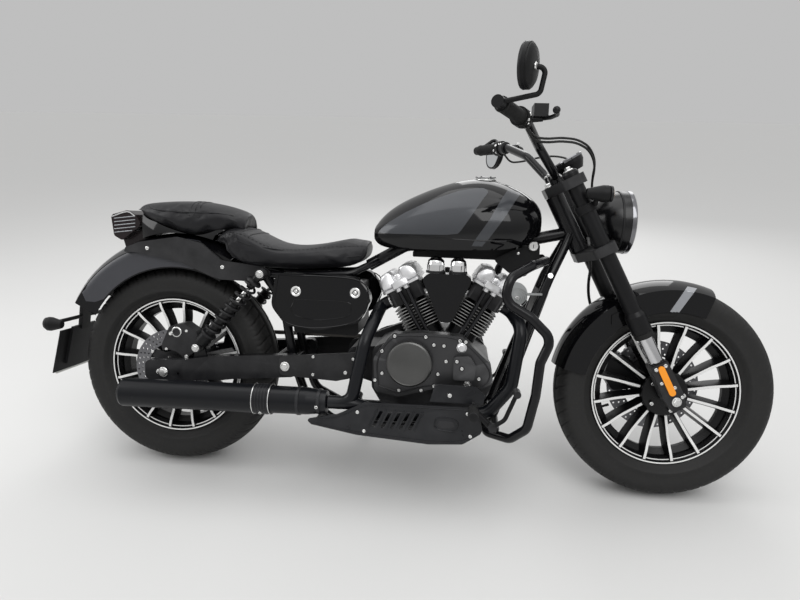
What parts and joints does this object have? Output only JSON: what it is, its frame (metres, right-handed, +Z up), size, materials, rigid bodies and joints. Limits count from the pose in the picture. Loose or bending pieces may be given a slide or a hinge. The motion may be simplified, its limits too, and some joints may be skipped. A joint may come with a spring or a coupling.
{
  "type": "cruiser motorcycle",
  "caption": "Black cruiser motorcycle with an open V-twin engine, teardrop tank, stepped seat, cast spoke wheels and engine guards, leaning on its side stand.",
  "frame": {"origin": "bottom centre of the bounding box, on the ground, as it leans on its side stand", "axes": "+X forward from the rear wheel to the front wheel, +Y to the rider's left, +Z up"},
  "size_m": [2.2146, 0.9202, 1.266],
  "materials": {
    "tyre": "matte",
    "wheel_black": "painted, machined edges",
    "disc_steel": "brushed",
    "frame_black": "gloss",
    "bolt_steel": "zinc",
    "satin_black": "satin",
    "engine_black": "painted",
    "engine_silver": "cast and machined",
    "gloss_black": "gloss",
    "bright_chrome": "polished",
    "exhaust_black": "satin",
    "seat_leather": "grained",
    "lamp_lens": "clear",
    "matte_black": "matte",
    "amber_lens": "prismatic",
    "grip_rubber": "ribbed",
    "cable_black": "smooth"
  },
  "bodies": {
    "chassis": {"air_cleaner": "gloss_black", "battery_box": "matte_black", "belly_cover": "exhaust_black", "clutch_cover": "engine_black", "crankcase": "engine_black", "cylinders": "engine_black", "drive_chain": "disc_steel", "engine_guards": "frame_black", "exhaust_headers": "exhaust_black", "fender_struts": "satin_black", "foot_levers": "satin_black", "foot_pegs": "satin_black", "fuel_cap": "bolt_steel", "fuel_tank": "gloss_black", "generator_cover": "engine_black", "horn": "disc_steel", "intake_domes": "bright_chrome", "main_frame": "frame_black", "muffler": "exhaust_black", "neck_covers": "matte_black", "number_plate_holder": "matte_black", "passenger_seat": "seat_leather", "pivot_covers": "satin_black", "radiator": "matte_black", "rear_axle": "bolt_steel", "rear_brake_caliper": "satin_black", "rear_fender": "gloss_black", "rear_turn_signals": "matte_black", "rider_seat": "seat_leather", "rocker_covers": "engine_silver", "seat_cowl": "gloss_black", "shock_absorbers": "satin_black", "side_covers": "gloss_black", "swingarm": "frame_black", "tail_lamp": "lamp_lens", "wiring_tray": "matte_black"},
    "steering": {"fork_clamps": "satin_black", "fork_tubes": "satin_black", "fork_sliders": "satin_black", "front_axle": "bolt_steel", "fork_reflectors": "amber_lens", "front_brake_caliper": "satin_black", "front_fender": "gloss_black", "headlight": "gloss_black", "front_turn_signals": "matte_black", "handlebar": "frame_black", "hand_grips": "grip_rubber", "hand_levers": "satin_black", "mirrors": "matte_black", "instrument": "satin_black", "control_cables": "cable_black"},
    "front_wheel": {"front_tyre": "tyre", "front_rim": "wheel_black", "front_brake_disc": "disc_steel"},
    "rear_wheel": {"rear_tyre": "tyre", "rear_rim": "wheel_black", "rear_brake_disc": "disc_steel", "rear_sprocket": "disc_steel"},
    "side_stand": {"side_stand": "frame_black"}
  },
  "joints": [
    {"name": "steering_turn", "type": "hinge", "parent": "chassis", "child": "steering", "pos_m": [0.48209, -0.05679, 0.78959], "axis": [-0.4695, 0.1738, 0.8657], "range_deg": [-40.4, 35.6]},
    {"name": "front_wheel_spin", "type": "hinge", "parent": "steering", "child": "front_wheel", "pos_m": [0.78997, -0.15097, 0.31124], "axis": [-0.037, 0.9757, -0.2159], "continuous": true},
    {"name": "rear_wheel_spin", "type": "hinge", "parent": "chassis", "child": "rear_wheel", "pos_m": [-0.718, -0.15281, 0.31122], "axis": [0, 0.9804, -0.1968], "continuous": true},
    {"name": "side_stand_fold", "type": "hinge", "parent": "chassis", "child": "side_stand", "pos_m": [-0.158, -0.05093, 0.16838], "axis": [0.1179, 0.8996, 0.4206], "range_deg": [0, 110.3]}
  ]
}
